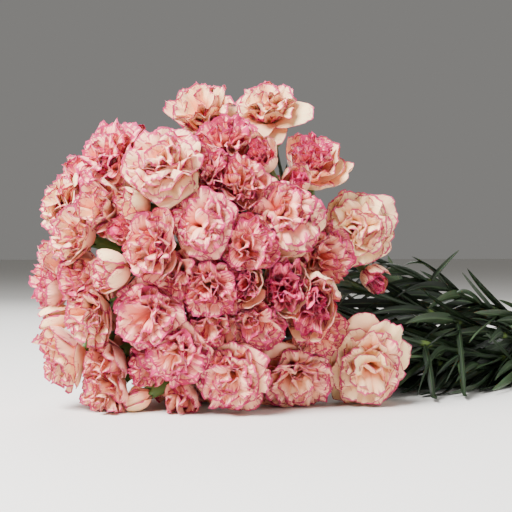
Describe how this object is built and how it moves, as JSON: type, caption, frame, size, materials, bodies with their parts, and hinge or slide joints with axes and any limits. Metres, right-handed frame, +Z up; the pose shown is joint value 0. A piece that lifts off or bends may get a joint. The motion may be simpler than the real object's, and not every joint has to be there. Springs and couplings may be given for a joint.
{
  "type": "bunch of carnations",
  "caption": "Bunch of spray carnations lying on its side: ruffled cream blooms edged in raspberry in a rounded head, green calyces, leafy stems held by a rubber band.",
  "frame": {"origin": "on the table, under the middle of the bunch's box", "axes": "+X along the stems towards their cut ends, +Z up, the bunch lying on its side"},
  "size_m": [0.6108, 0.2058, 0.2394],
  "materials": {
    "petals": "soft matte cream petals with raspberry edges and streaks",
    "greens": "waxy blue-green stems and leaves, brighter green calyces",
    "rubber": "tan natural rubber"
  },
  "bodies": {
    "root": {"bloom_01": "petals", "bloom_02": "petals", "bloom_04": "petals", "bloom_05": "petals", "bloom_07": "petals", "bloom_08": "petals", "bloom_09": "petals", "bloom_10": "petals", "bloom_11": "petals", "bloom_12": "petals", "bloom_15": "petals", "bloom_16": "petals", "bloom_18": "petals", "bloom_19": "petals", "bloom_20": "petals", "bloom_21": "petals", "bloom_22": "petals", "bloom_24": "petals", "bloom_25": "petals", "bloom_26": "petals", "bloom_27": "petals", "bloom_28": "petals", "bloom_36": "petals", "bloom_37": "petals", "bloom_43": "petals", "bloom_45": "petals", "bloom_46": "petals", "bloom_47": "petals", "bloom_48": "petals", "bloom_49": "petals", "bloom_52": "petals", "bloom_53": "petals", "bloom_54": "petals", "bloom_59": "petals", "blooms_03_38": "petals", "blooms_06_40": "petals", "blooms_13_14": "petals", "blooms_17_44": "petals", "blooms_23_39": "petals", "blooms_29_30": "petals", "blooms_31_32": "petals", "blooms_33_35": "petals", "blooms_34_57": "petals", "blooms_41_42": "petals", "blooms_50_51": "petals", "blooms_55_56": "petals", "blooms_58_62": "petals", "blooms_60_61": "petals", "blooms_63_64": "petals", "rubber_band": "rubber", "spray_01": "greens", "spray_02": "greens", "spray_03": "greens", "spray_04": "greens", "spray_05": "greens", "spray_06": "greens", "spray_07": "greens", "spray_08": "greens", "spray_09": "greens", "spray_10": "greens"}
  },
  "joints": []
}
